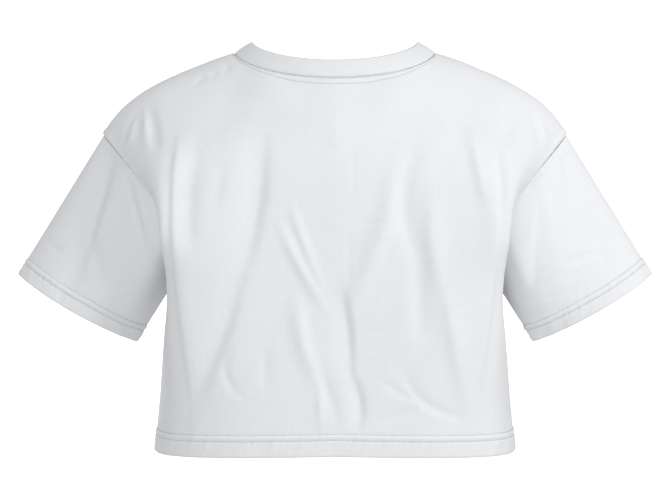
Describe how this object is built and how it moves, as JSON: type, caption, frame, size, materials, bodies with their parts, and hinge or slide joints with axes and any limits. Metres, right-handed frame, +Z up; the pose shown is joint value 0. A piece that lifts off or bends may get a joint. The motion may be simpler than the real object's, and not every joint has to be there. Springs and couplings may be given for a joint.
{
  "type": "crop top",
  "caption": "White cotton jersey crop top: a boxy cropped T-shirt with dropped shoulders, short set-on sleeves and a ribbed crew neck, filled out as if worn.",
  "frame": {"origin": "Midway between the two points where the shoulder seams meet the neck, where the shoulders carry the top.", "axes": "+Z up along the wearer's back; the wearer faces -Y, so the back panel is on the +Y side; +X towards the wearer's left sleeve."},
  "size_m": [0.6838, 0.233, 0.4401],
  "materials": {
    "jersey": "white cotton single jersey, matt",
    "rib": "white cotton rib knit, matt"
  },
  "bodies": {
    "root": {"back": "jersey", "front": "jersey", "sleeve_left": "jersey", "sleeve_right": "jersey", "neck_rib": "rib"}
  },
  "joints": []
}
